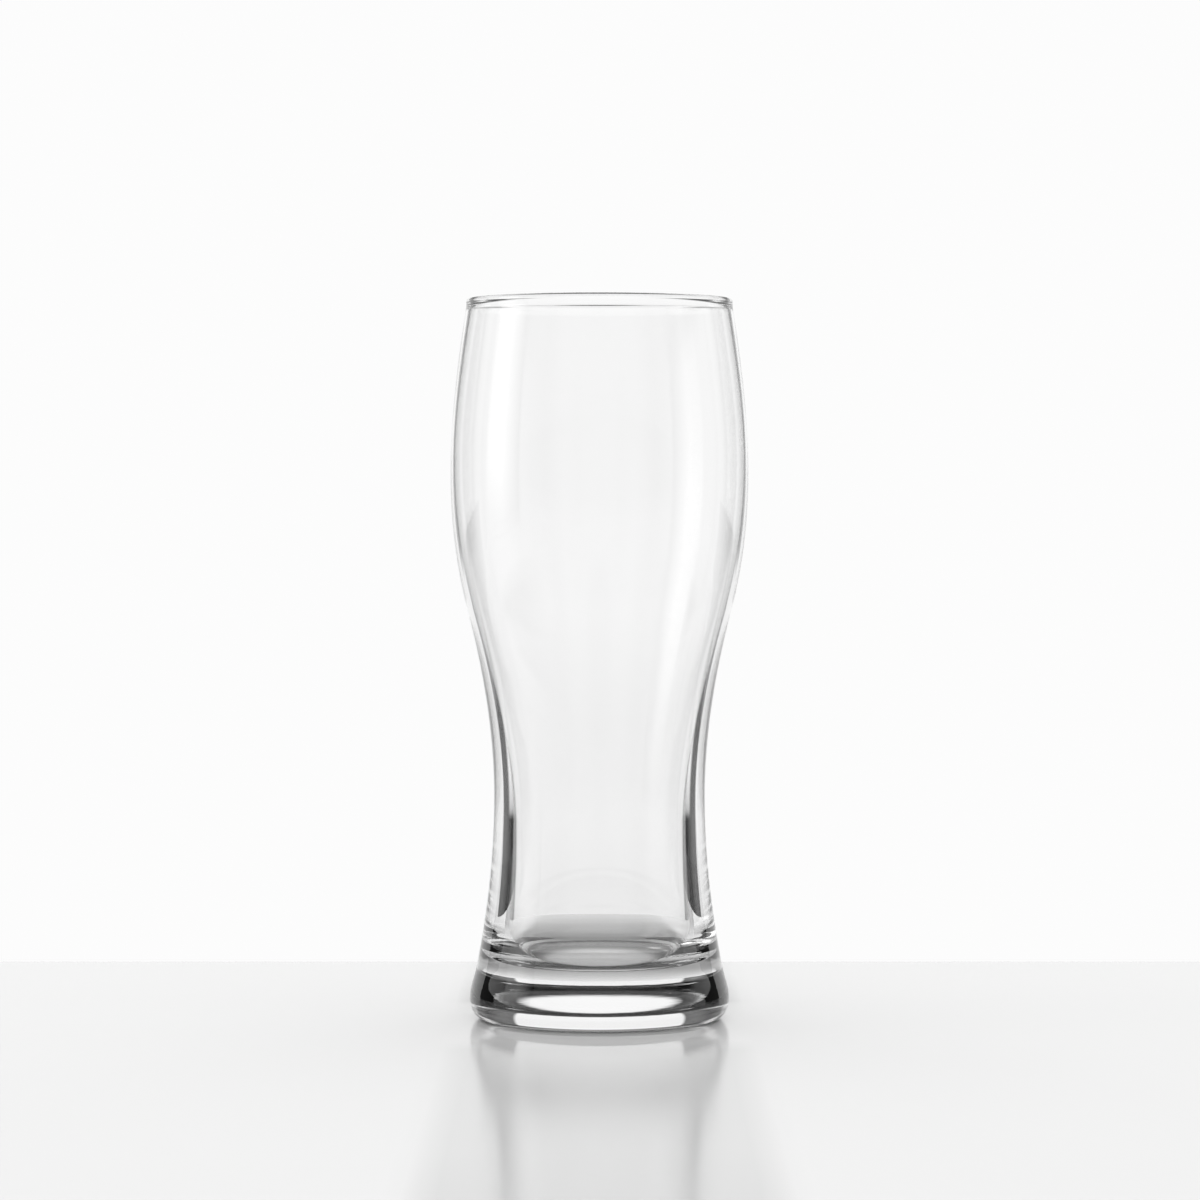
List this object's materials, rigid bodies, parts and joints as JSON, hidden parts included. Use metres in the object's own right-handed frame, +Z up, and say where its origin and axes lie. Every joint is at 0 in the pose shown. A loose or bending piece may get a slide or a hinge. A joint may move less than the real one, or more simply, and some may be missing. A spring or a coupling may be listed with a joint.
{
  "type": "weizen glass",
  "caption": "Tall clear wheat-beer glass with a wide belly, a narrow thick-walled waist, a heavy flared foot and a fire-polished rim.",
  "frame": {"origin": "middle of the standing ring, on the table", "axes": "+Z up along the axis of the glass; the glass is round, so +X and +Y are free, with +Y away from the viewer"},
  "size_m": [0.086, 0.086, 0.2078],
  "materials": {
    "glass_foot": "gloss",
    "glass_bowl": "gloss",
    "glass_rim": "fire-polished gloss"
  },
  "bodies": {
    "root": {"foot": "glass_foot", "bowl": "glass_bowl", "rim": "glass_rim"}
  },
  "joints": []
}
